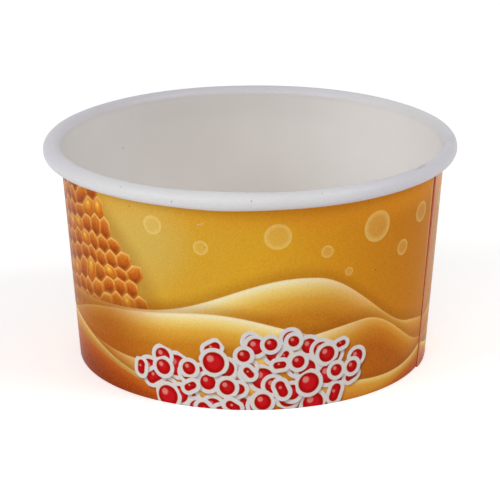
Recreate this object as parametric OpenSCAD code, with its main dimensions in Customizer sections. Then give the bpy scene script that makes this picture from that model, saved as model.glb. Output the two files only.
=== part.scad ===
// Paper dessert cup
// A round, tapered cup for one or two scoops, made of two pieces of coated board.
// The side wall is a printed fan of board, lapped at one seam, rolled outwards at the rim
// and folded inwards at the foot. The bottom is a disc whose skirt is held in that fold.
// The origin is the centre of the foot at table level. +Z is up and -Y is the front.

/* [Cup] */
// Outside diameter across the rolled rim
rim_d = 87; // [80:0.5:100]
// Outside diameter of the wall where its slope meets the table
base_d = 74; // [66:0.5:77]
// Height from the table to the top of the rim
cup_h = 47.5; // [36:0.5:80]

/* [Board] */
// Thickness of the side wall's board
wall_t = 0.36; // [0.28:0.02:0.44]
// Thickness of the bottom's board
bottom_t = 0.3; // [0.24:0.02:0.4]
// Glue line on each face of the bottom's skirt
glue_gap = 0.02; // [0.01:0.01:0.05]

/* [Rolled rim] */
// Diameter of the roll's section
roll_d = 3.6; // [3.2:0.1:4.5]
// Air between one turn of the roll and the next
roll_gap = 0.1; // [0.06:0.02:0.2]

/* [Side seam] */
// Place of the outer cut edge round the cup, in degrees from +X
seam_at = -20; // [-180:1:180]
// Width by which the board overlaps itself at the seam
lap_w = 10; // [5:0.5:12]
// Width over which the outer layer steps back to the line of the wall
ramp_w = 4; // [2:0.5:6]
// Number of steps in that return
ramp_steps = 6; // [3:1:8]

/* [Foot] */
// Height of the hem that is folded up inside the foot
hem_h = 5; // [4:0.25:8]
// Free height between the hem's edge and the bend of the bottom
hem_clear = 0.5; // [0.2:0.1:2]
// Outside radius of the bend between the disc and its skirt
bend_r = 0.9; // [0.7:0.1:1.5]
// Depth to which the fold is pressed flat where it stands on the table
foot_press = 0.08; // [0.04:0.01:0.12]

/* [Knurl] */
// Number of grooves pressed into the hem
knurl_n = 90; // [60:2:120]
// Radius of a groove's section
knurl_r = 0.55; // [0.4:0.05:0.8]
// Depth of a groove
knurl_depth = 0.12; // [0.06:0.02:0.16]
// Plain border of the hem above and below the grooves
knurl_border = 0.8; // [0.5:0.1:1.5]

/* [Hidden] */

// Roll: centre of its section, and how far the lower half draws in to make a spiral
roll_r = roll_d / 2;
roll_x = rim_d / 2 - roll_r;
roll_z = cup_h - roll_r;
turn_in = (wall_t + roll_gap) / 2;

// Slope of the wall from the vertical, from the foot's edge to a tangent inside the roll
roll_run = roll_x - base_d / 2;
lean = atan2(roll_run, roll_z) - asin((roll_r - wall_t) / norm([roll_run, roll_z]));

// Pocket between wall and hem, which holds the bottom's skirt and its glue
pocket = bottom_t + 2 * glue_gap;

// Length of the wall from the roll's centre line down to the centre of the fold
wall_l = (roll_z + (roll_r + pocket / 2) * sin(lean) - pocket / 2 - wall_t + foot_press) / cos(lean);

// Food surface at the height where the roll starts
start_x = roll_x - roll_r * cos(lean);
start_z = roll_z + roll_r * sin(lean);

// Height above the fold at which the skirt bends into the disc
bend_h = hem_h + hem_clear;
bend_at = on_wall(-glue_gap - bend_r, bend_h - wall_l);

// Angles round the cup that the lap and the return of the outer layer take
mean_r = (roll_x + base_d / 2) / 2;
lap_deg = lap_w / mean_r * 180 / PI;
ramp_deg = ramp_w / mean_r * 180 / PI;
inner_edge_at = seam_at + lap_deg;

// A reach that is larger than any section, and one that is larger than the cup
past_roll = 2 * roll_d;
past_cup = rim_d + cup_h;

// Facets of a small round section, and of a full turn
section_fn = 48;
turn_fn = 144;
groove_fn = 24;

// A point given across and up the board, as radius and height
function on_wall(x, y) =
    [start_x + x * cos(lean) + y * sin(lean), start_z - x * sin(lean) + y * cos(lean)];

// Outward shift of the outer layer at an angle: a whole board on the lap, then down in steps
function layer_shift(step) = wall_t * (1 - step / ramp_steps);

function shift_at(angle) =
    let (past = (angle - seam_at + 720) % 360)
    past < lap_deg ? wall_t
    : past < lap_deg + ramp_deg ? wall_t * (1 - (past - lap_deg) / ramp_deg)
    : 0;

// Board bent round the origin of its section
module bent_board(outer_r, thick) {
    difference() {
        circle(outer_r, $fn = section_fn);
        circle(outer_r - thick, $fn = section_fn);
    }
}

module upper_half() {
    translate([-past_roll, 0])
        square([2 * past_roll, past_roll]);
}

module lower_half() {
    translate([-past_roll, -past_roll])
        square([2 * past_roll, past_roll]);
}

// Wall board from the fold to the roll
module wall_strip(shift) {
    translate([shift, -wall_l])
        square([wall_t, wall_l]);
}

// Roll of one turn and a quarter: over the top, under, and tucked up inside itself
module rim_roll(shift) {
    translate([roll_r, 0])
        intersection() {
            bent_board(roll_r - shift, wall_t);
            upper_half();
        }
    translate([roll_r + turn_in, 0])
        intersection() {
            bent_board(roll_r - turn_in - shift, wall_t);
            lower_half();
        }
    translate([roll_r, 0])
        intersection() {
            bent_board(roll_r - wall_t - roll_gap - shift, wall_t);
            translate([-past_roll, 0])
                square(past_roll);
        }
}

// Fold under the skirt of the bottom, and the hem that stands up inside it
module foot_fold(shift) {
    translate([-pocket / 2, -wall_l])
        intersection() {
            bent_board(pocket / 2 + shift + wall_t, wall_t);
            lower_half();
        }
    translate([-pocket - shift - wall_t, -wall_l])
        square([wall_t, hem_h]);
}

// Section of one layer of board, stood at its slope and pressed flat at the table
module board_section(shift) {
    intersection() {
        translate([start_x, start_z])
            rotate(-lean) {
                wall_strip(shift);
                rim_roll(shift);
                foot_fold(shift);
            }
        square([past_cup, past_cup]);
    }
}

// Slice of the space round the axis between two angles less than a half turn apart
module slice(from, to) {
    linear_extrude(past_cup)
        polygon([[0, 0], past_cup * [cos(from), sin(from)], past_cup * [cos(to), sin(to)]]);
}

module single_board() {
    difference() {
        rotate_extrude($fn = turn_fn)
            board_section(0);
        slice(seam_at, inner_edge_at + ramp_deg);
    }
}

// Both layers of the glued lap
module lapped_board() {
    intersection() {
        rotate_extrude($fn = turn_fn) {
            board_section(0);
            board_section(wall_t);
        }
        slice(seam_at, inner_edge_at);
    }
}

// Outer layer past the inner cut edge, let down to the line of the wall step by step
module board_return() {
    for (step = [0 : ramp_steps - 1])
        intersection() {
            rotate_extrude($fn = turn_fn)
                board_section(layer_shift(step));
            slice(inner_edge_at + ramp_deg * step / ramp_steps,
                  inner_edge_at + ramp_deg * (step + 1) / ramp_steps);
        }
}

// Upright grooves that the knurling wheel presses into the inner face of the hem
module knurl_grooves() {
    for (i = [0 : knurl_n - 1]) {
        angle = i * 360 / knurl_n;
        face_x = -pocket - wall_t - shift_at(angle);
        groove_at = on_wall(face_x - knurl_r + knurl_depth, knurl_border - wall_l);
        rotate(angle)
            translate([groove_at.x, 0, groove_at.y])
                rotate([0, lean, 0])
                    cylinder(r = knurl_r, h = hem_h - 2 * knurl_border, $fn = groove_fn);
    }
}

module sidewall() {
    color("#d3a13f")
        difference() {
            union() {
                single_board();
                lapped_board();
                board_return();
            }
            knurl_grooves();
        }
}

// Disc, its bend, and the skirt that follows the slope of the wall down into the fold
module bottom() {
    color("#f1eee8")
        rotate_extrude($fn = turn_fn) {
            translate([0, bend_at.y + bend_r - bottom_t])
                square([bend_at.x, bottom_t]);
            translate(bend_at) {
                intersection() {
                    bent_board(bend_r, bottom_t);
                    polygon([
                        [0, 0],
                        past_roll * [cos(lean), -sin(lean)],
                        [past_roll, past_roll],
                        [0, past_roll]
                    ]);
                }
                rotate(-lean)
                    translate([bend_r - bottom_t, -bend_h])
                        square([bottom_t, bend_h]);
            }
        }
}

sidewall();
bottom();
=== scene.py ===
# %% [markdown]
# # A printed paper dessert cup
# This lesson dresses a paper cup. The cup is made of two pieces of coated board: a printed
# side wall, rolled outwards at the rim and lapped at one seam, and a plain bottom disc.
# We load the fixed frame of solids first. Every size that follows is read from it or named
# in millimetres, and one millimetre is a thousandth of a Blender unit here.

# %% Load the frame
import math

import bpy
import numpy as np
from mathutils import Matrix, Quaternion, Vector


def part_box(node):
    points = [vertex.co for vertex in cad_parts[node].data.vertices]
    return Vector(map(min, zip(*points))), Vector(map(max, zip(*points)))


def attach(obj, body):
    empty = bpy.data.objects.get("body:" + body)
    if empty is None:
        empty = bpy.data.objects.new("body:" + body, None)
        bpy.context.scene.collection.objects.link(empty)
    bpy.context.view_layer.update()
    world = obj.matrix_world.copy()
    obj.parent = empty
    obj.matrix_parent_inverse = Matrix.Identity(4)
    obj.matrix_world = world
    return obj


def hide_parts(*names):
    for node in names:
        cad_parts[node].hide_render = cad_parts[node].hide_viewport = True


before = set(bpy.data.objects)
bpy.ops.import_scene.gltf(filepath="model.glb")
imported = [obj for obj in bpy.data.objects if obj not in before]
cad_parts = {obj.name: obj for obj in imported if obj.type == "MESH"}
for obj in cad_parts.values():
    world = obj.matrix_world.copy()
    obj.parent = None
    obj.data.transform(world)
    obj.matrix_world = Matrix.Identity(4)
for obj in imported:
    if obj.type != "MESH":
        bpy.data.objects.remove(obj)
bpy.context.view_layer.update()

MM = 0.001
low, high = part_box("sidewall")
print("cup in mm:", [round((b - a) / MM, 2) for a, b in zip(low, high)])

# %% [markdown]
# ## Sizes of the board
# A paper cup is easy to get wrong by making it a lathe shape: the board has a thickness, it
# overlaps itself at the seam, and the rim is a spiral of that same board. We therefore name
# the board's sizes once and work out the rest, so that the finish follows the construction.
# The wall's own frame has x across the board, from the food side outwards, and y up the wall,
# from the height where the roll starts. The frame's box gives the rim and the height, which
# its mesh rounds by a few hundredths, so we take them to the nearest half millimetre.

# %% Name the sizes
CUP_H = round((high[2] - low[2]) / MM * 2) / 2
RIM_D = round((high[0] - low[0]) / MM * 2) / 2
BASE_D = 74.0
WALL_T = 0.36
BOTTOM_T = 0.3
GLUE_GAP = 0.02
ROLL_D = 3.6
ROLL_GAP = 0.1
HEM_H = 5.0
FOOT_PRESS = 0.08
LAP_W = 10.0
RAMP_W = 4.0
SEAM_AT = -20.0

roll_r = ROLL_D / 2
roll_x = RIM_D / 2 - roll_r
roll_z = CUP_H - roll_r
turn_in = (WALL_T + ROLL_GAP) / 2
roll_run = roll_x - BASE_D / 2
lean = math.atan2(roll_run, roll_z) - math.asin((roll_r - WALL_T) / math.hypot(roll_run, roll_z))
pocket = BOTTOM_T + 2 * GLUE_GAP
wall_l = roll_z + (roll_r + pocket / 2) * math.sin(lean) - pocket / 2 - WALL_T + FOOT_PRESS
wall_l /= math.cos(lean)
start_x = roll_x - roll_r * math.cos(lean)
start_z = roll_z + roll_r * math.sin(lean)
mean_r = (roll_x + BASE_D / 2) / 2
lap_deg = math.degrees(LAP_W / mean_r)
ramp_deg = math.degrees(RAMP_W / mean_r)
print("slope of the wall:", round(math.degrees(lean), 2), "degrees, lap:", round(lap_deg, 1), "degrees")

# %% [markdown]
# ## The path of the board
# Seen in section, one strip of board runs from the edge of the hem inside the foot, down and
# round the fold, up the wall, over the roll, under it, and up inside itself. Blender's Screw
# modifier could turn such a section round the axis, but then the cup would have no lap. So we
# list the stations of the path as functions of the layer's outward shift, and sweep them
# ourselves: the shift is nothing on one layer and a whole board where it lies on the other.

# %% Stations along the board
def arc(centre_x, centre_y, first, last, count, radius):
    """Points on an arc. radius gives (food side, print side) for a shift."""
    def at(shift):
        food, printed = radius(shift)
        turn = np.radians(np.linspace(first, last, count))
        ring = np.stack([np.cos(turn), np.sin(turn)], axis=1)
        centre = np.array([centre_x, centre_y])
        return centre + food * ring, centre + printed * ring
    return at


def straight(y_values, across):
    """Points on a straight stretch. across gives (food side, print side) for a shift."""
    ys = np.array(y_values)

    def at(shift):
        return tuple(np.stack([np.full(len(ys), x), ys], axis=1) for x in across(shift))
    return at


HEM_BORDER = 0.8
GROOVE_END = 0.15
HEM_ROWS = np.array([HEM_H, HEM_H - HEM_BORDER, HEM_H - HEM_BORDER - GROOVE_END, HEM_H / 2,
                     HEM_BORDER + GROOVE_END, HEM_BORDER]) - wall_l
fold_r = pocket / 2
under_r = roll_r - turn_in
tuck_r = roll_r - WALL_T - ROLL_GAP
BELOW_ROLL = 0.8
wall_rows = np.linspace(HEM_BORDER - wall_l, -BELOW_ROLL, 13)
OVER_POINTS = 21
STRETCHES = [
    ("hem", straight(HEM_ROWS, lambda s: (-pocket - s, -pocket - s - WALL_T))),
    ("fold", arc(-fold_r, -wall_l, 180, 360, 13, lambda s: (fold_r + s, fold_r + s + WALL_T))),
    ("wall", straight(wall_rows, lambda s: (s, s + WALL_T))),
    ("over", arc(roll_r, 0, 180, 0, OVER_POINTS, lambda s: (roll_r - s, roll_r - s - WALL_T))),
    ("under", arc(roll_r + turn_in, 0, -12, -180, 13,
                  lambda s: (under_r - s, under_r - s - WALL_T))),
    ("tuck", arc(roll_r, 0, 162, 90, 5, lambda s: (tuck_r - s, tuck_r - s - WALL_T))),
]


def board_path(shift):
    """Food side and print side of the board, as points across and up the wall."""
    sides = [stretch(shift) for name, stretch in STRETCHES]
    return np.concatenate([s[0] for s in sides]), np.concatenate([s[1] for s in sides])


names = [name for name, stretch in STRETCHES for _ in stretch(0.0)[0]]
first_row = {name: names.index(name) for name, stretch in STRETCHES}
rows = len(names)
print("stations along the board:", rows)

# %% [markdown]
# ## A roll that isn't perfect
# Small faults make the difference between a cup and a turned ring. The tool curled the rim a
# little fuller on the left than on the right, and a few lobes out of round, each listed by its
# number round the cup, its phase and its size. The rim stands a little higher at the right and
# at the back. And the cut edge of the inner layer doesn't cross the roll quite squarely. We add
# them to the points rather than with modifiers, because each has to fade out in its own way.

# %% Faults of the rim
ROLL_UNEVEN = 0.095
RIM_TILT = 0.154
RIM_NOD = 0.24
OUT_OF_ROUND = ((2, 0.7, 0.05), (5, 2.1, 0.03))
RIM_RIPPLE = 0.02
EDGE_SKEW = (0.8, -2.5)
SKEW_FADE = 12.0
SKEW_ROWS = 4


def smooth(t):
    t = np.clip(t, 0, 1)
    return t * t * (3 - 2 * t)


def layer_shift(past_seam):
    """Outward shift of the board, for degrees past the outer cut edge."""
    return WALL_T * (1 - smooth((past_seam - lap_deg) / ramp_deg))


def rim_wave(angle, height):
    """How far the handled rim departs from round and from level, in mm."""
    share = smooth(height / CUP_H)
    out = sum(size * np.sin(lobes * angle + phase) for lobes, phase, size in OUT_OF_ROUND)
    up = RIM_TILT * np.cos(angle) - RIM_NOD * (1 - np.sin(angle)) / 2
    up = up + RIM_RIPPLE * np.sin(7 * angle)
    return share ** 2 * out, share ** 4 * up


def edge_skew(past_seam, row):
    """Degrees by which the inner cut edge leaves a straight crossing of the roll."""
    near_end = smooth((past_seam - 360 - lap_deg + SKEW_FADE) / SKEW_FADE)
    across = np.clip((row - first_row["over"]) / (OVER_POINTS - 1), 0, 1)
    up_wall = smooth((row - first_row["over"] + SKEW_ROWS) / SKEW_ROWS)
    return near_end * (EDGE_SKEW[0] * (1 - across) + EDGE_SKEW[1] * across) * up_wall


print("faults of the rim in mm: tilt", RIM_TILT, "nod", RIM_NOD)

# %% [markdown]
# The roll also has two shallow dents on its inner shoulder at the front right, the narrow one
# rippled like a pucker, and it swells just left of the front. Each of them is one smooth hump
# round the cup. place() adds every fault to points of the wall's own frame and turns them into
# metres. It lets no point drop below the table.

# %% Dents, swell and place
PUCKER_AT, PUCKER_W, PUCKER_DEPTH = math.radians(-36.0), math.radians(3.2), 0.22
PRESSED_AT, PRESSED_W, PRESSED_DEPTH = math.radians(-46.0), math.radians(11.0), 0.26
SWELL_AT, SWELL_W, SWELL = math.radians(-98.0), math.radians(11.0), 0.12
DENT_IN, DENT_DOWN, DENT_REACH = 1.2, 0.5, 0.75
DENT_SPREAD = 0.4


def hump(angle, middle, width):
    """A smooth hump of height 1 round the cup, about an angle."""
    away = (angle - middle + math.pi) % (2 * math.pi) - math.pi
    return np.exp(-(away / width) ** 2)


def shoulder_dent(angle, radius, height):
    """Depth of the dents on the inner shoulder of the roll."""
    across = np.hypot(radius - (roll_x - DENT_IN), height - (CUP_H - DENT_DOWN)) / DENT_REACH
    ripple = 0.75 + 0.25 * np.sin(8 * angle / PUCKER_W)
    pucker = PUCKER_DEPTH * ripple * hump(angle, PUCKER_AT, PUCKER_W)
    pressed = PRESSED_DEPTH * hump(angle, PRESSED_AT, PRESSED_W)
    return (pucker + pressed) * np.exp(-across ** 2)


def place(x, y, angle, radial_in=0.0):
    """Points of the wall's own frame, at angles round the cup, as metres in the row frame."""
    fuller = x * (1 - ROLL_UNEVEN * np.cos(angle) * smooth(x / roll_r))
    x = np.where(y >= -2 * ROLL_D, fuller, x)
    radius = start_x + (x - radial_in) * math.cos(lean) + y * math.sin(lean)
    height = start_z - (x - radial_in) * math.sin(lean) + y * math.cos(lean)
    height = np.maximum(height, 0.0)
    out, up = rim_wave(angle, height)
    dent = shoulder_dent(angle, radius, height)
    swell = SWELL * hump(angle, SWELL_AT, SWELL_W) * smooth((radius - roll_x) / 1.4 + 1)
    radius = radius + out + DENT_SPREAD * dent + swell * np.maximum(radius - roll_x, 0)
    height = height + up - dent + swell * (height - roll_z)
    return np.stack([radius * np.cos(angle), radius * np.sin(angle), height], axis=-1) * MM


# %% [markdown]
# ## One turn and a lap
# The board goes round once and then on over its own start. Each step of the sweep asks for the
# path at its own shift, so the outer layer lies a whole board out on the lap and lets itself
# down to the line of the wall just past the inner cut edge.

# %% Sweep the board
STEPS = 560
past = np.linspace(0.0, 360.0 + lap_deg, STEPS + 1)
row_numbers = np.arange(rows)
food_side, print_side = [], []
for degrees in past:
    food, printed = board_path(float(layer_shift(degrees)))
    angle = np.radians(SEAM_AT + degrees - edge_skew(degrees, row_numbers))
    food_side.append(place(food[:, 0], food[:, 1], angle))
    print_side.append(place(printed[:, 0], printed[:, 1], angle))
food_side, print_side = np.array(food_side), np.array(print_side)
print("points on each side of the board:", food_side.shape[0] * food_side.shape[1])

# %% [markdown]
# ## The knurled hem
# A wheel presses upright grooves into the hem to seal it to the bottom's skirt. The grooves are
# far narrower than the steps round the wall, so the inner face of the hem gets its own rows,
# four times as fine. Where fine and coarse rows meet, each coarse edge fans out to five points,
# which keeps the mesh closed.

# %% Fine rows for the hem
KNURL_N = 90
KNURL_R = 0.55
KNURL_DEPTH = 0.12
HEM_R = BASE_D / 2 - 1
FINE = 4
HEM_COUNT = len(HEM_ROWS)
GROOVED_ROWS = range(2, 5)

fine_past = np.linspace(0.0, 360.0 + lap_deg, STEPS * FINE + 1)
fine_angles = np.radians(SEAM_AT + fine_past)
pitch = 360.0 / KNURL_N
off_groove = (np.degrees(fine_angles) + pitch / 2) % pitch - pitch / 2
arc_off = np.radians(np.abs(off_groove)) * HEM_R
groove = KNURL_DEPTH - KNURL_R + np.sqrt(np.maximum(KNURL_R ** 2 - arc_off ** 2, 0))
groove = np.where(arc_off < KNURL_R, np.maximum(groove, 0), 0)
hem_fine = []
for row, y in enumerate(HEM_ROWS):
    skewed = fine_angles - np.radians(edge_skew(fine_past, row))
    x = -pocket - layer_shift(fine_past) - WALL_T
    pressed = groove if row in GROOVED_ROWS else 0.0 * groove
    hem_fine.append(place(x, np.full_like(x, y), skewed, radial_in=-pressed))
hem_fine = np.array(hem_fine)
print("points on the hem:", hem_fine.shape[0] * hem_fine.shape[1])

# %% [markdown]
# ## Build the mesh
# The board has five finishes: print on the outside, coated white on the food side, bare white
# where the print stops inside the foot, the raw fibre of its cut edges, and the outer cut edge,
# which took up ink. They are slots of one mesh, because it is one piece of board. Each row of
# faces knows from its station which slot it takes.

# %% Faces of the side wall
PRINT, FOOD, BARE, CUT, INKED = range(5)
PRINT_STARTS = first_row["fold"] + 3

points = np.concatenate([side.reshape(-1, 3) for side in (food_side, print_side, hem_fine)])
food_at = np.arange((STEPS + 1) * rows).reshape(STEPS + 1, rows)
print_at = food_at + food_at.size
hem_points = hem_fine.shape[0] * hem_fine.shape[1]
hem_at = 2 * food_at.size + np.arange(hem_points).reshape(hem_fine.shape[:2])

faces, slots = [], []


def add_faces(new, slot, flip=False):
    faces.extend(f[::-1] if flip else f for f in new)
    slots.extend([slot] * len(new))


def quads(a, b, c, d):
    corners = np.stack([a.ravel(), b.ravel(), c.ravel(), d.ravel()], axis=1)
    return [tuple(int(i) for i in face) for face in corners]


def skin(grid, slot, flip=False):
    """Faces over a grid of points, round the cup by up the board."""
    add_faces(quads(grid[:-1, :-1], grid[:-1, 1:], grid[1:, 1:], grid[1:, :-1]), slot, flip)


def fan_out(coarse, fine, slot, flip=False):
    """Joins a coarse row of points to one that is FINE times as dense."""
    half = FINE // 2
    for i in range(STEPS):
        a, b = int(coarse[i]), int(coarse[i + 1])
        f = [int(v) for v in fine[i * FINE:(i + 1) * FINE + 1]]
        tris = [(a, f[k], f[k + 1]) for k in range(half)] + [(a, f[half], b)]
        tris += [(b, f[k], f[k + 1]) for k in range(half, FINE)]
        add_faces(tris, slot, flip)


skin(food_at, FOOD)
skin(print_at[:, HEM_COUNT:PRINT_STARTS + 1], BARE, flip=True)
skin(print_at[:, PRINT_STARTS:], PRINT, flip=True)
skin(hem_at, BARE)
fan_out(print_at[:, HEM_COUNT], hem_at[-1], BARE)
fan_out(food_at[:, 0], hem_at[0], CUT, flip=True)
skin(np.stack([food_at[:, -1], print_at[:, -1]], axis=1), CUT)
for end, slot, flip in ((0, INKED, True), (STEPS, CUT, False)):
    printed_edge = np.concatenate([hem_at[:, end * FINE], print_at[end, HEM_COUNT:]])
    skin(np.stack([food_at[end], printed_edge]), slot, flip)
print("faces:", len(faces))

# %% [markdown]
# The lists of points and faces become one mesh. The food side and the print side are smooth,
# and the cut edges stay crisp, because their corners are what makes the board look like board.

# %% Sidewall mesh
used = sorted({i for f in faces for i in f})
renumber = {old: new for new, old in enumerate(used)}
mesh = bpy.data.meshes.new("printed_sidewall")
used_points = [tuple(points[i]) for i in used]
used_faces = [tuple(renumber[i] for i in f) for f in faces]
mesh.from_pydata(used_points, [], used_faces)
mesh.polygons.foreach_set("material_index", slots)
mesh.polygons.foreach_set("use_smooth", [slot not in (CUT, INKED) for slot in slots])
mesh.update()
sidewall = bpy.data.objects.new("printed_sidewall", mesh)
bpy.context.collection.objects.link(sidewall)
print("sidewall triangles:", sum(len(p.vertices) - 2 for p in mesh.polygons))

# %% [markdown]
# ## A small language for shaders
# The print is drawn with numbers that vary over the surface. Wiring each Math node by hand
# hides the drawing in the plumbing, so one small class wraps a socket: adding, multiplying and
# dividing fields makes the Math nodes. The reflected forms let a plain number come first.

# %% Fields
class Field:
    """One socket of a shader tree, used like a number."""

    def __init__(self, tree, socket):
        self.tree, self.socket = tree, socket

    def math(self, operation, *others):
        inputs = dict(enumerate((self, *others)))
        return self.tree.node("ShaderNodeMath", {"operation": operation}, inputs)["Value"]

    def __add__(self, other):
        return self.math("ADD", other)

    def __sub__(self, other):
        return self.math("SUBTRACT", other)

    def __rsub__(self, other):
        return (self * -1.0) + other

    def __mul__(self, other):
        return self.math("MULTIPLY", other)

    def __truediv__(self, other):
        return self.math("DIVIDE", other)

    def __abs__(self):
        return self.math("ABSOLUTE")

    def __mod__(self, other):
        return self.math("FLOORED_MODULO", other)

    __radd__ = __add__
    __rmul__ = __mul__

    def larger(self, other):
        return self.math("MAXIMUM", other)

    def squared(self):
        return self * self

    def soft(self, low, high):
        """0 at low, 1 at high, and smooth between. low may be above high."""
        node = self.tree.node("ShaderNodeMapRange", {"interpolation_type": "SMOOTHSTEP"},
                              {"Value": self, "From Min": low, "From Max": high})
        return node["Result"]


def length(*parts):
    """Distance of a point from its parts along each axis."""
    total = parts[0].squared()
    for part in parts[1:]:
        total = total + part.squared()
    return total.math("SQRT")


# %% [markdown]
# Any other node comes from one method, which takes the node's type, its settings and the values
# or links of its sockets. The settings go first, because some of them change which sockets the
# node has. The nodes that we use often get a short method of their own. Colours go through Mix
# and vectors through Vector Math, because a Math node would turn a colour grey.

# %% Nodes and trees
class Node:
    """A shader node whose outputs are fetched as fields."""

    def __init__(self, tree, node):
        self.tree, self.node = tree, node

    def __getitem__(self, name):
        sockets = [s for s in self.node.outputs if s.enabled and s.name == name]
        return Field(self.tree, sockets[0])


class Tree:
    """A tree of shader nodes, with the method that makes a node of any type."""

    def __init__(self, node_tree):
        self.node_tree = node_tree

    def node(self, kind, settings=None, values=None):
        made = self.node_tree.nodes.new(kind)
        for setting, value in (settings or {}).items():
            if setting == "stops":
                self.set_stops(made.color_ramp, value)
            else:
                setattr(made, setting, value)
        for key, value in (values or {}).items():
            self.feed(self.find(made, key), value)
        return Node(self, made)

    def find(self, made, key):
        if isinstance(key, int):
            return made.inputs[key]
        return [s for s in made.inputs if s.enabled and s.name == key][0]

    def feed(self, socket, value):
        if isinstance(value, Field):
            self.node_tree.links.new(value.socket, socket)
        else:
            socket.default_value = value

    def set_stops(self, ramp, stops):
        while len(ramp.elements) < len(stops):
            ramp.elements.new(1.0)
        for element, (stop_at, colour) in zip(ramp.elements, stops):
            element.position, element.color = stop_at, colour

    def mix(self, share, under, over):
        """Colour over laid on colour under where share is 1."""
        node = self.node("ShaderNodeMix", {"data_type": "RGBA"},
                         {"Factor": share, "A": under, "B": over})
        return node["Result"]

    def ramp(self, field, *stops):
        return self.node("ShaderNodeValToRGB", {"stops": stops}, {"Fac": field})["Color"]

    def noise(self, where, scale, detail=3.0, rough=0.55):
        node = self.node("ShaderNodeTexNoise", None,
                         {"Vector": where, "Scale": scale, "Detail": detail, "Roughness": rough})
        return node["Fac"]

    def vector(self, x=0.0, y=0.0, z=0.0):
        return self.node("ShaderNodeCombineXYZ", None, {"X": x, "Y": y, "Z": z})["Vector"]

    def parts(self, vector):
        split = self.node("ShaderNodeSeparateXYZ", None, {0: vector})
        return split["X"], split["Y"], split["Z"]

    def where(self):
        """Place on the object in mm, as a vector and as its three numbers."""
        coords = self.node("ShaderNodeTexCoord")["Object"]
        scaled = self.node("ShaderNodeVectorMath", {"operation": "SCALE"},
                           {0: coords, "Scale": 1 / MM})["Vector"]
        return scaled, *self.parts(scaled)

    def bump(self, height, strength, distance):
        node = self.node("ShaderNodeBump", None,
                         {"Height": height, "Strength": strength, "Distance": distance * MM})
        return node["Normal"]

    def shown(self):
        """1 towards the camera and in what mirrors or lets through, and 0 for light on the cup."""
        rays = self.node("ShaderNodeLightPath")
        mirrored = rays["Is Glossy Ray"].larger(rays["Is Transmission Ray"])
        return rays["Is Camera Ray"].larger(mirrored)


# %% [markdown]
# A finish is such a tree with one principled shader. Its constant sockets are set when it is
# made, and what varies is fed to it at the end. Colours are written as read off a print, 0 to
# 255, and turned into the linear values that a shader takes.

# %% Finishes
class Finish(Tree):
    """A material with one principled shader."""

    def __init__(self, name, **constants):
        self.material = bpy.data.materials.new(name)
        self.material.use_nodes = True
        super().__init__(self.material.node_tree)
        self.shader = self.node_tree.nodes["Principled BSDF"]
        self.surface(**constants)

    def surface(self, **values):
        """Sets or links sockets of the shader, each named with _ for a space."""
        for socket, value in values.items():
            self.feed(self.shader.inputs[socket.replace("_", " ")], value)


def srgb(red, green, blue):
    """A colour of 0 to 255 as the linear colour that a shader takes."""
    def linear(value):
        value /= 255
        return value / 12.92 if value <= 0.04045 else ((value + 0.055) / 1.055) ** 2.4
    return (linear(red), linear(green), linear(blue), 1.0)


print("mid grey as a shader takes it:", round(srgb(128, 128, 128)[0], 3))

# %% [markdown]
# ## Coated white board
# The food side carries a thin plastic film: satin and warm down inside, glossier and slightly
# cool on the rim, where the film is stretched. We paint the tones first. Painted light and shade
# change them gently: a painted shade high up at the back and just under the roll there, painted
# light deep inside and towards the right, and on the rim painted light that makes it whiter and
# less cool at the front left and at the right, with a painted shade at the far left.

# %% Tones of the food side
LIT_RIM_LEFT, LIT_RIM_RIGHT = -105.0, 31.0


def food_tones(finish, x, y, z, round_cup, on_rim):
    """Warm white inside and cool white on the rim, with painted light and shade."""
    middle = abs(x + 4.0).soft(30.0, 5.0)
    warm = finish.mix(middle * 0.6, srgb(232, 228, 226), srgb(232, 225, 219))
    # Painted shade: darker high up at the back, and in a band just under the roll there.
    high_at_back = z.soft(26.0, 44.0) * y.soft(22.0, 40.0)
    warm = finish.mix(high_at_back * 0.68, warm, srgb(216, 212, 208))
    below_roll = z.soft(39.0, 43.5) * z.soft(46.0, 44.5) * y.soft(24.0, 40.0)
    warm = finish.mix(below_roll * 0.3, warm, srgb(208, 203, 199))
    # Painted light: whiter deep inside and towards the right.
    deep_inside = z.soft(30.0, 12.0)
    warm = finish.mix(deep_inside * 0.75, warm, srgb(241, 238, 234))
    towards_right = x.soft(2.0, 26.0)
    warm = finish.mix(towards_right * 0.8, warm, srgb(238, 234, 231))
    # Painted light on the rim: whiter and less cool at the front left and at the right.
    lit_rim_left = abs(round_cup - LIT_RIM_LEFT).soft(62.0, 20.0)
    lit_rim_right = abs(round_cup - LIT_RIM_RIGHT).soft(38.0, 12.0)
    cool = finish.mix(lit_rim_left.larger(lit_rim_right), srgb(214, 212, 219), srgb(222, 221, 222))
    # Painted shade on the rim at the far left.
    far_left = y.soft(8.0, 34.0) * x.soft(18.0, 2.0)
    cool = finish.mix(far_left * 0.75, cool, srgb(205, 202, 207))
    return finish.mix(on_rim, warm, cool)


# %% [markdown]
# Handling left a few specks. A speck on the roll is drawn by its distance from a point that two
# angles name: round the cup, and round the roll. So it stays on the roll where that swells.
# A speck inside has a plain place in millimetres. The next number is the size in millimetres.

# %% Specks on the food side
RIM_SPECKS = [(-111.0, -11.0, 0.13), (-90.1, 16.3, 0.14), (-71.4, 45.0, 0.1),
              (-14.6, 80.0, 0.13), (-126.5, 29.0, 0.12)]
INSIDE_SPECKS = [((-28.6, 27.0, 37.0), 0.34, srgb(224, 190, 184)),
                 ((-26.4, 29.7, 43.5), 0.24, srgb(216, 211, 205)),
                 ((-25.4, 29.4, 31.6), 0.2, srgb(216, 211, 205))]
CUP_MM_PER_DEG = math.radians(roll_x)
ROLL_MM_PER_DEG = math.radians(roll_r)


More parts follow.
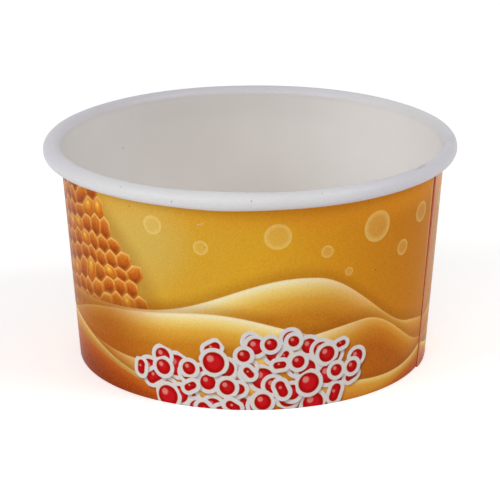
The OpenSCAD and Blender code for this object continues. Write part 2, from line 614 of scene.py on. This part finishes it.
def lay_food_specks(finish, colour, x, y, z, round_cup, round_roll):
    for cup_at, roll_at, size in RIM_SPECKS:
        along_cup = (round_cup - cup_at) * CUP_MM_PER_DEG
        along_roll = (round_roll - roll_at) * ROLL_MM_PER_DEG
        away = length(along_cup, along_roll)
        colour = finish.mix(away.soft(size * 1.5, size * 0.7) * 0.6, colour, srgb(112, 106, 102))
    for (at_x, at_y, at_z), size, tone in INSIDE_SPECKS:
        away = length(x - at_x, y - at_y, z - at_z)
        colour = finish.mix(away.soft(size * 1.4, size * 0.5) * 0.7, colour, tone)
    return colour


# %% [markdown]
# The same two angles draw the inner cut edge, which crosses the roll as a painted highlight:
# a thin bright line, with a painted soft shade before it. At the front right, where the dents
# are, a grey line of painted shade lies on the pressed inner shoulder, and there is one broken
# dark grey mark.

# %% Cut edge, painted highlight and shade, and a mark on the roll
EDGE_AT, EDGE_SLANT = -2.9, 0.0183
PRESSED_SHADE_AT, PRESSED_SHADE_HALF = -47.5, 9.5
SHOULDER_ANGLE = 99.0
SHOULDER_MARK_ANGLE, SHOULDER_MARK_HALVES = 94.0, (3.1, 0.75, 0.9)


def lay_inner_edge(finish, colour, round_cup, round_roll):
    past_edge = (round_cup + round_roll * EDGE_SLANT - EDGE_AT) * CUP_MM_PER_DEG
    on_top = round_roll.soft(20.0, 45.0)
    # Painted shade before the cut edge, and a painted highlight along it.
    shade = past_edge.soft(-2.4, -0.2) * past_edge.soft(0.1, -0.1) * on_top
    colour = finish.mix(shade * 0.16, colour, srgb(150, 148, 154))
    line = abs(past_edge + 0.12).soft(0.26, 0.1) * on_top
    return finish.mix(line * 0.5, colour, srgb(250, 250, 252))


def lay_pressed_shade_and_mark(finish, colour, place_mm, x, y, z, round_cup, round_roll):
    # Painted shade: a grey line on the pressed inner shoulder.
    pressed = abs(round_cup - PRESSED_SHADE_AT).soft(PRESSED_SHADE_HALF, PRESSED_SHADE_HALF - 3.0)
    pressed = pressed * abs(round_roll - SHOULDER_ANGLE).soft(8.0, 3.0)
    colour = finish.mix(pressed * 0.45, colour, srgb(148, 148, 158))

    # One broken dark grey mark at the pucker.
    ring_r = roll_x + roll_r * math.cos(math.radians(SHOULDER_MARK_ANGLE))
    away_x = x - ring_r * math.cos(PUCKER_AT)
    away_y = y - ring_r * math.sin(PUCKER_AT)
    away_z = z - (roll_z + roll_r * math.sin(math.radians(SHOULDER_MARK_ANGLE)))
    along = away_y * math.cos(PUCKER_AT) - away_x * math.sin(PUCKER_AT)
    across = away_x * math.cos(PUCKER_AT) + away_y * math.sin(PUCKER_AT)
    half_along, half_across, half_up = SHOULDER_MARK_HALVES
    shoulder_mark = length(along / half_along, across / half_across, away_z / half_up).soft(1.0, 0.35)
    broken = finish.noise(place_mm, 1.3, detail=2.0).soft(0.30, 0.62)
    return finish.mix(shoulder_mark * broken * 0.8, colour, srgb(146, 140, 136))


# %% [markdown]
# Under the film the fibres still show as a very fine unevenness, and on the rim the stretched
# film is finely crinkled, so the bump there is stronger and the gloss a little higher.

# %% Food side
def coated_board(name):
    finish = Finish(name, Specular_IOR_Level=0.35)
    place_mm, x, y, z = finish.where()
    radius = length(x, y)
    round_cup = y.math("ARCTAN2", x) * (180 / math.pi)
    round_roll = (z - roll_z).math("ARCTAN2", radius - roll_x) * (180 / math.pi)
    on_rim = z.soft(roll_z - 0.8, CUP_H - 0.4).larger(radius.soft(roll_x - 1.0, roll_x))

    colour = food_tones(finish, x, y, z, round_cup, on_rim)
    cloud = finish.noise(place_mm, 0.07, detail=2.0)
    colour = finish.mix(cloud.soft(0.35, 0.7) * 0.08, colour, srgb(200, 192, 184))
    colour = lay_food_specks(finish, colour, x, y, z, round_cup, round_roll)
    colour = lay_inner_edge(finish, colour, round_cup, round_roll)
    colour = lay_pressed_shade_and_mark(finish, colour, place_mm, x, y, z, round_cup, round_roll)

    fibres = finish.noise(place_mm, 2.4, detail=4.0)
    crinkle = finish.noise(place_mm, 1.9, detail=2.0, rough=0.5) * on_rim
    finish.surface(Base_Color=colour, Roughness=0.42 + cloud * 0.12 - on_rim * 0.12,
                   Normal=finish.bump(fibres * 0.05 + crinkle, 0.7, 0.24))
    return finish.material


food_board = coated_board("coated_food_side")
print("food side nodes:", len(food_board.node_tree.nodes))

# %% [markdown]
# ## Bare board and raw edge
# Inside the foot the print stops and the board is plain. Where the board was cut, its fibres are
# open: rougher, a little pinkish, and with streaks along the layers. The outer cut edge took up
# ink over the half next to the print, and stayed paler towards the foot. One function makes them
# all, and the bottom's board as well, because they differ only in tone, gloss, grain and ink.

# %% Bare and cut board
WALL_OUT = start_x + WALL_T * math.cos(lean) - (start_z - WALL_T * math.sin(lean)) * math.tan(lean)


def plain_board(name, tone, shade, roughness, streak, ink=0.0):
    finish = Finish(name, Specular_IOR_Level=0.3)
    place_mm, x, y, z = finish.where()
    fibres = finish.noise(place_mm, streak, detail=5.0, rough=0.65)
    cloud = finish.noise(place_mm, 0.06, detail=2.0)
    colour = finish.mix(fibres.soft(0.3, 0.75) * 0.6 + cloud * 0.4, shade, tone)
    if ink > 0.0:
        colour = finish.mix(z.soft(34.0, 14.0) * ink * 0.75, colour, srgb(240, 212, 180))
        off_wall = length(x, y) - z * math.tan(lean) - WALL_OUT
        colour = finish.mix(off_wall.soft(0.20, 0.08) * ink, colour, srgb(196, 66, 8))
    finish.surface(Base_Color=colour, Roughness=roughness + fibres * 0.15,
                   Normal=finish.bump(fibres, 0.25, 0.04))
    return finish.material


bare_board = plain_board("bare_board", srgb(228, 225, 220), srgb(214, 209, 202), 0.55, 1.6)
cut_board = plain_board("cut_edge", srgb(232, 224, 218), srgb(208, 192, 182), 0.75, 6.0)
inked_board = plain_board("inked_edge", srgb(218, 160, 152), srgb(196, 112, 96), 0.75, 1.5, ink=0.9)
bottom_board = plain_board("bottom_board", srgb(231, 226, 220), srgb(221, 215, 208), 0.40, 1.2)
print("plain boards:", [m.name for m in (bare_board, cut_board, inked_board, bottom_board)])

# %% [markdown]
# ## The print
# A dessert cup's print is a warm golden ground with a sweet theme. This one is a generic design:
# a field of honeycomb at the left, three silky waves of cream that swing across the front, pale
# bubbles above them, waves of caramel at the foot and a heap of red candies with white outlines.
# We draw it in two numbers: the distance along the print from the front, in degrees, and the
# height, in mm. The back half of the print mirrors the front half, so that the design closes on
# itself.

# %% Coordinates of the print
HALF_TURN = 180.0
FRONT_AT = (-90.0 - SEAM_AT) % 360 - HALF_TURN
PRINT_R = 38.5
MM_PER_DEG = math.radians(PRINT_R)


def print_coordinates(x, y):
    """Degrees from the front of the design, and degrees past the outer cut edge."""
    angle = y.math("ARCTAN2", x) * (180 / math.pi)
    past_seam = (angle - SEAM_AT) % 360.0
    return abs(past_seam - HALF_TURN) - FRONT_AT, past_seam


def wave(q, degrees, phase):
    """A smooth wave along the print, by its length and phase in degrees."""
    return ((q + phase) * (2 * math.pi / degrees)).math("SINE")


def turned(ds, dz, degrees):
    """The same step seen in axes turned by some degrees."""
    turn = math.radians(degrees)
    return ds * math.cos(turn) + dz * math.sin(turn), dz * math.cos(turn) - ds * math.sin(turn)


def capsule(along, across, half_length):
    """Distance from a straight stroke of some half length."""
    return length((abs(along) - half_length).larger(0.0), across)


print("one degree along the print:", round(MM_PER_DEG, 3), "mm")

# %% [markdown]
# Each motif is a function that lays one thing on the colour it is given, with its own shading
# and its own soft shadow behind. Keeping the motifs apart means that one can be moved without
# touching the others. The ground comes first: pale gold high up at the left, deeper to the
# right and down, and next to the rim a brighter orange, painted light that lifts the shadow
# of the rim there.

# %% Golden ground
GOLD = ((0.05, srgb(205, 124, 24)), (0.35, srgb(221, 148, 30)), (0.62, srgb(226, 167, 40)),
        (0.80, srgb(220, 167, 48)), (0.98, srgb(217, 190, 102)))
GLOW_AT, GLOW_HALVES = (-26.0, 36.0), (58.0, 52.0)


def from_oval(s, z, centre, halves):
    """0 at the centre of an oval on the print, and 1 on its border."""
    return length((s - centre[0]) / halves[0], (z - centre[1]) / halves[1])


def golden_ground(finish, s, z, place_mm):
    glow = from_oval(s, z, GLOW_AT, GLOW_HALVES).soft(1.15, 0.0)
    light = glow * 0.85 + finish.noise(place_mm, 0.035, detail=1.0) * 0.15
    # Painted light: a brighter orange under the rim lifts the rim's shadow.
    painted_light_under_rim = z.soft(36.5, 43.0) * (s.soft(-20.0, 30.0) * 0.75 + 0.2)
    return finish.mix(painted_light_under_rim, finish.ramp(light, *GOLD), srgb(234, 148, 36))


# %% [markdown]
# The bubbles are pale flat discs with a brighter edge, so the distance from a point is all that
# they need. Each has its place and its radius on the print in mm.

# %% Bubbles
BUBBLES = [(5.0, 37.6, 2.7), (15.0, 33.6, 1.3), (26.5, 37.0, 3.3), (34.5, 30.6, 1.7),
           (-10.0, 35.0, 1.5), (41.0, 36.5, 2.2), (-20.0, 38.6, 2.0), (20.0, 28.6, 0.9)]


def lay_bubbles(finish, colour, s, z):
    for at_s, at_z, radius in BUBBLES:
        away = length(s - at_s, z - at_z)
        disc = away.soft(radius + 0.1, radius - 0.1)
        paler = away.soft(radius * 0.55, radius) * 0.3 + 0.16
        colour = finish.mix(disc * paler, colour, srgb(250, 226, 140))
    return colour


# %% [markdown]
# The honeycomb is the well known grid of two interleaved lattices: a point takes the nearer of
# two cell centres, and its distance across the cell is the larger of its distance along the
# flats and along the slants. Each cell is shaded as a hollow lit from above.

# %% Honeycomb grid
HEX_ROW = math.sqrt(3)
HEX_SLANT = HEX_ROW / 2


def nearest_cell(u, v):
    """Step from the centre of the nearest six-sided cell of a grid whose pitch is 1."""
    a, b = u % 1.0 - 0.5, v % HEX_ROW - HEX_ROW / 2
    c, d = (u + 0.5) % 1.0 - 0.5, (v + HEX_ROW / 2) % HEX_ROW - HEX_ROW / 2
    first = length(a, b).math("LESS_THAN", length(c, d))
    return c + first * (a - c), d + first * (b - d)


# %% [markdown]
# The field ends at whole cells, because the test for its border takes the middle of the cell
# and not the point itself. A few cells hold honey, chosen by a random number for each middle.

# %% Honeycomb
COMB_PITCH = 3.7
COMB_TURN = 12.0
FIELD_AT, FIELD_HALVES = (-76.0, 14.0), (55.0, 40.0)
FIELD_SHADOW_AT = (-74.5, 13.0)
HOLLOW = ((0.12, srgb(226, 138, 44)), (0.45, srgb(196, 92, 24)), (0.75, srgb(150, 50, 14)),
          (1.0, srgb(110, 30, 10)))
HONEY = ((0.0, srgb(255, 226, 140)), (0.28, srgb(246, 172, 52)), (1.0, srgb(206, 104, 20)))
WAX = ((0.2, srgb(178, 92, 26)), (0.5, srgb(222, 142, 54)), (0.85, srgb(246, 192, 110)))


def lay_honeycomb(finish, colour, s, z, place_mm):
    su, sv = turned(s, z, COMB_TURN)
    bend = finish.noise(place_mm, 0.10, detail=1.0) * 1.2 - 0.6
    cell_u, cell_v = su / COMB_PITCH + bend, sv / COMB_PITCH + bend
    du, dv = nearest_cell(cell_u, cell_v)
    ds, dz = turned(du * COMB_PITCH, dv * COMB_PITCH, -COMB_TURN)
    middle_s, middle_z = turned((cell_u - du) * COMB_PITCH, (cell_v - dv) * COMB_PITCH, -COMB_TURN)
    across = abs(du).larger(abs(du) * 0.5 + abs(dv) * HEX_SLANT)
    crumb = finish.noise(place_mm, 1.6, detail=5.0, rough=0.75)
    number = finish.vector((middle_s * 0.5).math("ROUND"), (middle_z * 0.5).math("ROUND"))
    flat = {"noise_dimensions": "2D"}
    dice = finish.node("ShaderNodeTexWhiteNoise", flat, {"Vector": number})["Value"]
    hollow = finish.ramp(dz * -0.24 + 0.46 + (crumb - 0.5) * 0.5, *HOLLOW)
    honey = finish.ramp(length(ds + 0.4, dz - 0.55) / 1.6, *HONEY)
    hollow = finish.mix(dice.soft(0.70, 0.72), hollow, honey)
    body = finish.mix(across.soft(0.345, 0.425), hollow, finish.ramp(dz * 0.2 + crumb * 0.9, *WAX))
    body = finish.mix(s.soft(-28.0, -60.0) * 0.42, body, srgb(138, 56, 16))
    shadow = from_oval(s, z, FIELD_SHADOW_AT, FIELD_HALVES).soft(1.07, 0.97)
    colour = finish.mix(shadow * 0.4, colour, srgb(150, 76, 12))
    whole_cells = from_oval(middle_s, middle_z, FIELD_AT, FIELD_HALVES).math("LESS_THAN", 1.0)
    return finish.mix(whole_cells, colour, body)


# %% [markdown]
# A wave is shaded by the distance below its crest, from bright to deep. A wave of cream is
# silky: bright in the middle of the front and amber further round, and it fades out at both
# ends. A wave of caramel runs all round.

# %% Shading of the waves
SILK = ((0.0, srgb(255, 248, 214)), (0.08, srgb(254, 240, 188)), (0.26, srgb(248, 218, 124)),
        (0.55, srgb(232, 174, 62)), (1.0, srgb(206, 130, 30)))
FAR_SILK = ((0.0, srgb(246, 196, 112)), (0.10, srgb(232, 164, 66)), (0.40, srgb(210, 128, 32)),
            (1.0, srgb(184, 94, 20)))
SILK_FADE = 34.0


def lay_silk(finish, colour, q, z, crest, depth, start, end):
    below = crest - z
    here = q.soft(start, start + SILK_FADE) * q.soft(end, end - SILK_FADE)
    shadow = below.soft(-3.4, 0.0) * here
    colour = finish.mix(shadow * 0.42, colour, srgb(158, 84, 14))
    body = finish.ramp(below / depth, *SILK)
    body = finish.mix(below.soft(0.45, 0.0) * 0.5, body, srgb(240, 196, 104))
    far = q.soft(-18.0, -54.0).larger(q.soft(8.0, 46.0))
    body = finish.mix(far, body, finish.ramp(below / depth, *FAR_SILK))
    high_left = q.soft(-26.0, -52.0) * z.soft(9.0, 14.0)
    body = finish.mix(high_left * 0.5, body, srgb(150, 68, 26))
    return finish.mix(below.soft(-0.08, 0.08) * here, colour, body)


def lay_caramel(finish, colour, z, crest, depth, tones):
    below = crest - z
    shadow = below.soft(-2.2, 0.0)
    colour = finish.mix(shadow * 0.28, colour, srgb(140, 70, 14))
    return finish.mix(below.soft(-0.1, 0.1), colour, finish.ramp(below / depth, *tones))


# %% [markdown]
# The crests are sums of long and short waves, so that no two look alike. We lay them from the
# back to the front, and darken the low left corner last.

# %% Waves
CARAMEL = ((0.0, srgb(246, 216, 136)), (0.16, srgb(230, 168, 66)), (0.55, srgb(206, 118, 30)),
           (1.0, srgb(186, 86, 20)))
TOFFEE = ((0.0, srgb(214, 112, 32)), (0.4, srgb(184, 74, 18)), (1.0, srgb(150, 46, 12)))


def lay_waves(finish, colour, q, z):
    back = wave(q, 150.0, 20.0) * 5.0 + wave(q, 61.0, 5.0) * 0.8 - q.soft(20.0, 58.0) * 9.0 + 22.8
    middle = wave(q, 170.0, 62.0) * 5.0 + wave(q, 52.0, 20.0) * 0.5 + 15.6
    front = wave(q, 160.0, -2.0) * 4.6 - q.soft(36.0, 66.0) * 8.0 + 13.0
    colour = lay_silk(finish, colour, q, z, back, 8.0, -88.0, 90.0)
    colour = lay_silk(finish, colour, q, z, middle, 7.0, -104.0, 66.0)
    colour = lay_silk(finish, colour, q, z, front, 6.0, -70.0, 84.0)
    upper = wave(q, 96.0, 12.0) * 2.4 + wave(q, 180.0, -60.0) * 3.4 + 6.5
    lower = wave(q, 180.0, -68.0) * 4.0 + wave(q, 64.0, 20.0) * 0.8 + 2.6
    colour = lay_caramel(finish, colour, z, upper, 8.0, CARAMEL)
    colour = lay_caramel(finish, colour, z, lower, 5.0, TOFFEE)
    low_left = q.soft(-28.0, -46.0) * z.soft(13.0, 6.0)
    return finish.mix(low_left * 0.32, colour, srgb(146, 58, 20))


# %% [markdown]
# The candies are scattered by a Voronoi texture. It gives each cell a place and a random colour,
# which we use as dice, and the radius of the largest disc that fits in the cell, which keeps
# neighbours from cutting into each other. Most candies are round and some are short sticks.

# %% One candy
CANDY_PITCH = 5.7
OUTLINE = 0.90
LARGEST = 3.2
STICKS_FROM = 0.68
HEAP_AT, HEAP_HALVES = (-0.2, 7.0), (25.8, 8.8)
HEAP_SLANT = 0.05


def candy_distance(finish, s, z, seed, degrees):
    """Distance from the red of the nearest candy, whether the candy is in the heap, and the
    step from the candy's middle with its girth."""
    su, sv = turned(s, z, degrees)
    grid = {"Vector": finish.vector(su / CANDY_PITCH, sv / CANDY_PITCH + seed),
            "Scale": 1.0, "Randomness": 0.5}
    flat = {"voronoi_dimensions": "2D"}
    cells = finish.node("ShaderNodeTexVoronoi", flat, grid)
    fitting = finish.node("ShaderNodeTexVoronoi", {**flat, "feature": "N_SPHERE_RADIUS"}, grid)
    room = fitting["Radius"] * CANDY_PITCH
    cell_u, cell_v = finish.parts(cells["Position"])[:2]
    dice_a, dice_b = finish.parts(cells["Color"])[:2]
    at_u, at_v = cell_u * CANDY_PITCH, (cell_v - seed) * CANDY_PITCH
    du, dv = su - at_u, sv - at_v
    turn = dice_a * math.pi
    along = du * turn.math("COSINE") + dv * turn.math("SINE")
    across = dv * turn.math("COSINE") - du * turn.math("SINE")
    reach = (room * 1.16).math("MINIMUM", LARGEST) - OUTLINE
    stick = dice_b.math("GREATER_THAN", STICKS_FROM)
    girth = reach * (1.0 - stick * 0.45)
    at_s, at_z = turned(at_u, at_v, -degrees)
    from_heap = from_oval(at_s, at_z - at_s * HEAP_SLANT, HEAP_AT, HEAP_HALVES)
    heap = from_heap.math("LESS_THAN", 1.0)
    return capsule(along, across, reach - girth) - girth, heap, (*turned(du, dv, -degrees), girth)


# %% [markdown]
# Real candies lie in a heap, so we lay the same texture three times, each time with another
# seed and another turn, and every layer drops its shadow on the one below. A thin golden edge
# between red and white is where the inks of the print don't quite meet.

# %% Heap of candies
CANDY_LAYERS = ((57.0, 62.0), (83.0, -24.0), (31.0, 17.0))
SHADOW_STEP = (0.4, -0.6)
RED = ((0.0, srgb(158, 4, 14)), (0.6, srgb(190, 8, 22)), (1.0, srgb(206, 22, 32)))


def lay_candies(finish, colour, s, z):
    for seed, degrees in CANDY_LAYERS:
        shaded_s, shaded_z = s - SHADOW_STEP[0], z - SHADOW_STEP[1]
        shade, fallen = candy_distance(finish, shaded_s, shaded_z, seed, degrees)[:2]
        colour = finish.mix(shade.soft(1.2, 0.3) * fallen * 0.5, colour, srgb(96, 44, 14))
        distance, heap, (ds, dz, girth) = candy_distance(finish, s, z, seed, degrees)
        white = distance.soft(OUTLINE + 0.06, OUTLINE - 0.06) * heap
        colour = finish.mix(white, colour, srgb(223, 221, 222))
        glint = (length(ds + girth * 0.3, dz - girth * 0.35) / girth).soft(0.40, 0.2)
        red = finish.mix(glint * 0.5, finish.ramp(distance * -0.9, *RED), srgb(246, 180, 168))
        colour = finish.mix(distance.soft(0.05, -0.05) * heap, colour, red)
        golden_edge = abs(distance - 0.03).soft(0.12, 0.04) * heap
        colour = finish.mix(golden_edge * 0.5, colour, srgb(226, 164, 66))
    return colour


# %% [markdown]
# The marks of use come last on a print: a few specks and one scratch, each with its place in
# degrees from the front and in mm of height. A speck has its radius there too, and the scratch
# its turn and half its length.

# %% Marks of use
PRINT_SPECKS = [(-37.4, 41.67, 0.13), (-13.5, 35.1, 0.10), (-38.0, 29.7, 0.08), (39.7, 27.6, 0.13)]
SCRATCH = (-14.8, 40.0, 16.0, 0.62)


def lay_wear(finish, colour, s, z):
    for at_q, at_z, radius in PRINT_SPECKS:
        away = length(s - at_q * MM_PER_DEG, z - at_z)
        colour = finish.mix(away.soft(radius * 1.4, radius * 0.7) * 0.75, colour, srgb(74, 46, 26))
    at_q, at_z, degrees, half = SCRATCH
    along, across = turned(s - at_q * MM_PER_DEG, z - at_z, degrees)
    scratch = capsule(along, across, half).soft(0.1, 0.03)
    return finish.mix(scratch * 0.7, colour, srgb(236, 206, 178))


# %% [markdown]
# Beside the seam runs a thin broken dark orange-red line, with a paler rubbed strip before it.
# On the seam's other side the fold of the blank rubbed a streaky bleached strip, most of all
# high up.

# %% Marks beside the seam
def lay_seam_marks(finish, colour, z, past_seam):
    # A thin broken dark orange-red line just before the outer cut edge.
    dark_line_by_seam = past_seam.soft(359.55, 359.75)
    broken = finish.noise(finish.vector(0.0, 0.0, z), 0.9, detail=3.0).soft(0.34, 0.5)
    colour = finish.mix(dark_line_by_seam * (broken * 0.4 + 0.5), colour, srgb(198, 54, 0))
    high_up = z.soft(4.0, 44.0)
    rubbed = past_seam.soft(357.6, 358.8) * past_seam.soft(359.6, 359.4)
    colour = finish.mix(rubbed * (high_up * 0.65 + 0.1), colour, srgb(226, 186, 128))
    streaks = finish.noise(finish.vector(past_seam, 0.0, z * 0.04), 1.1, detail=4.0, rough=0.7)
    bleached = past_seam.soft(16.0, 1.0) * (high_up * 0.78 + 0.03)
    bleached = bleached * (0.16 + streaks.soft(0.35, 0.7) * 0.46)
    colour = finish.mix(bleached, colour, srgb(230, 198, 176))
    next_to_edge = past_seam.soft(1.5, 0.5)
    return finish.mix(next_to_edge * (high_up * 0.25 + 0.2), colour, srgb(236, 186, 160))


# %% [markdown]
# The layers go down in the order in which a printer would separate them: the ground first, then
# the bubbles, the honeycomb, the waves, and the candies on top. A fine grain stands for the
# halftone: its yellow dots stay off the candies, because they would turn the red to orange.
# The varnish is thin: its gloss shows only at grazing angles.

# %% Printed side
def printed_board(name):
    finish = Finish(name, Specular_IOR_Level=0.015)
    place_mm, x, y, z = finish.where()
    q, past_seam = print_coordinates(x, y)
    s = q * MM_PER_DEG

    colour = golden_ground(finish, s, z, place_mm)
    colour = lay_bubbles(finish, colour, s, z)
    colour = lay_honeycomb(finish, colour, s, z, place_mm)
    colour = lay_waves(finish, colour, q, z)
    grain = finish.noise(place_mm, 3.2, detail=2.0, rough=0.8)
    colour = finish.mix(grain.soft(0.62, 0.3) * 0.10, colour, srgb(248, 204, 96))
    colour = lay_candies(finish, colour, s, z)
    colour = finish.mix(grain.soft(0.35, 0.7) * 0.12, colour, srgb(120, 66, 16))
    colour = lay_wear(finish, colour, s, z)
    colour = lay_seam_marks(finish, colour, z, past_seam)

    wear = finish.noise(place_mm, 0.12, detail=4.0)
    fibres = finish.noise(place_mm, 2.2, detail=4.0)
    finish.surface(Base_Color=colour, Roughness=0.20 + wear * 0.14,
                   Normal=finish.bump(fibres, 0.10, 0.03))
    return finish.material


print_board = printed_board("golden_print")
print("print nodes:", len(print_board.node_tree.nodes))

# %% [markdown]
# ## Give each piece its finish
# The board's mesh takes its five finishes in the order of its slots, rides on the one body of
# the cup and stands for the side wall's solid. The bottom's solid already has the right form,
# so it stays and only gets its finish.

# %% Assign and attach
for material in (print_board, food_board, bare_board, cut_board, inked_board):
    sidewall.data.materials.append(material)
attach(sidewall, "root")
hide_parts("sidewall")
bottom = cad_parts["bottom"]
for slot in bottom.material_slots:
    slot.material = bottom_board
print("bottom slots:", len(bottom.material_slots))

# %% [markdown]
# ## Table and backdrop
# The cup stands on a pale table that runs on into the background. A white background must not
# come from more light on the cup, so the table shows the camera, and what mirrors it, a little
# more white than it reflects, and keeps the cup's soft shadow.

# %% Table
REACH = 3.0
TABLE_LIFT = 0.46
table_mesh = bpy.data.meshes.new("table")
corners = [(-REACH, -REACH, 0), (REACH, -REACH, 0), (REACH, REACH, 0), (-REACH, REACH, 0)]
table_mesh.from_pydata(corners, [], [(0, 1, 2, 3)])
table = bpy.data.objects.new("table", table_mesh)
bpy.context.collection.objects.link(table)
BLACK, WHITE = (0.0, 0.0, 0.0, 1.0), (1.0, 1.0, 1.0, 1.0)
pale = Finish("pale_table", Roughness=0.9, Specular_IOR_Level=0.1,
              Base_Color=(0.90, 0.90, 0.90, 1.0), Emission_Strength=1.0)
pale.surface(Emission_Color=pale.mix(pale.shown() * TABLE_LIFT, BLACK, WHITE))
table.data.materials.append(pale.material)
print("table:", 2 * REACH, "m wide")

# %% [markdown]
# ## Light
# The photograph was lit softly from both sides in a white room: low from the left, higher from
# the right, and a little from the front. Each of them is one area lamp, whose power was fitted
# to the greys of the rim and the inside.

# %% Lamps
LAMP_SIZE = 0.7
LIT_POINT = Vector((0.0, 0.0, 0.02))


def soft_lamp(name, place_m, power, tone):
    lamp = bpy.data.lights.new(name, "AREA")
    lamp.shape, lamp.size, lamp.energy, lamp.color = "DISK", LAMP_SIZE, power, tone
    stand = bpy.data.objects.new(name, lamp)
    stand.location = place_m
    stand.rotation_euler = (LIT_POINT - Vector(place_m)).to_track_quat("-Z", "Y").to_euler()
    bpy.context.collection.objects.link(stand)


soft_lamp("window", (-0.98, -0.57, 0.53), 5.7, (1.0, 1.0, 1.0))
soft_lamp("skylight", (0.873, -0.318, 0.836), 4.9, (1.0, 0.99, 0.98))
soft_lamp("front", (-0.22, -0.99, 0.68), 2.5, (1.0, 1.0, 1.0))
print("lamps:", [lamp.name for lamp in bpy.data.lights])

# %% [markdown]
# The world fills the shadows with a weak light. Towards the camera and in reflections it is
# white, at a strength of 1, so that the backdrop is white without more light on the cup.

# %% World
ROOM_LIGHT = 0.32
world = bpy.data.worlds.new("white_room")
bpy.context.scene.world = world
world.use_nodes = True
room = Tree(world.node_tree)
background = world.node_tree.nodes["Background"]
background.inputs["Color"].default_value = (0.985, 0.99, 1.0, 1.0)
room.feed(background.inputs["Strength"], room.shown() * (1.0 - ROOM_LIGHT) + ROOM_LIGHT)

scene = bpy.context.scene
scene.view_settings.view_transform = "Standard"
print("view transform:", scene.view_settings.view_transform)

# %% [markdown]
# ## Camera
# The photograph looks down on the cup by about 18 degrees with a long lens. The camera's lens,
# aim and lean were fitted to the outline of the cup for a distance of about half a metre.

# %% Camera
ELEVATION = math.radians(18.27)
DISTANCE = 0.5104
AIM = Vector((-0.00037, 0.0, 0.02194))
FOCAL_PX, FRAME_PX = 2388.3, 500
LEAN = math.radians(0.12)

camera_data = bpy.data.cameras.new("camera")
camera_data.sensor_width = 36.0
camera_data.lens = FOCAL_PX / FRAME_PX * camera_data.sensor_width
camera_data.clip_start, camera_data.clip_end = 0.01, 20.0
camera = bpy.data.objects.new("camera", camera_data)
back = Vector((0.0, -math.cos(ELEVATION), math.sin(ELEVATION)))
camera.location = AIM + back * DISTANCE
camera.rotation_mode = "QUATERNION"
camera.rotation_quaternion = (-back).to_track_quat("-Z", "Y") @ Quaternion((0, 0, 1), -LEAN)
bpy.context.collection.objects.link(camera)
scene.camera = camera
print("lens:", round(camera_data.lens, 1), "mm")
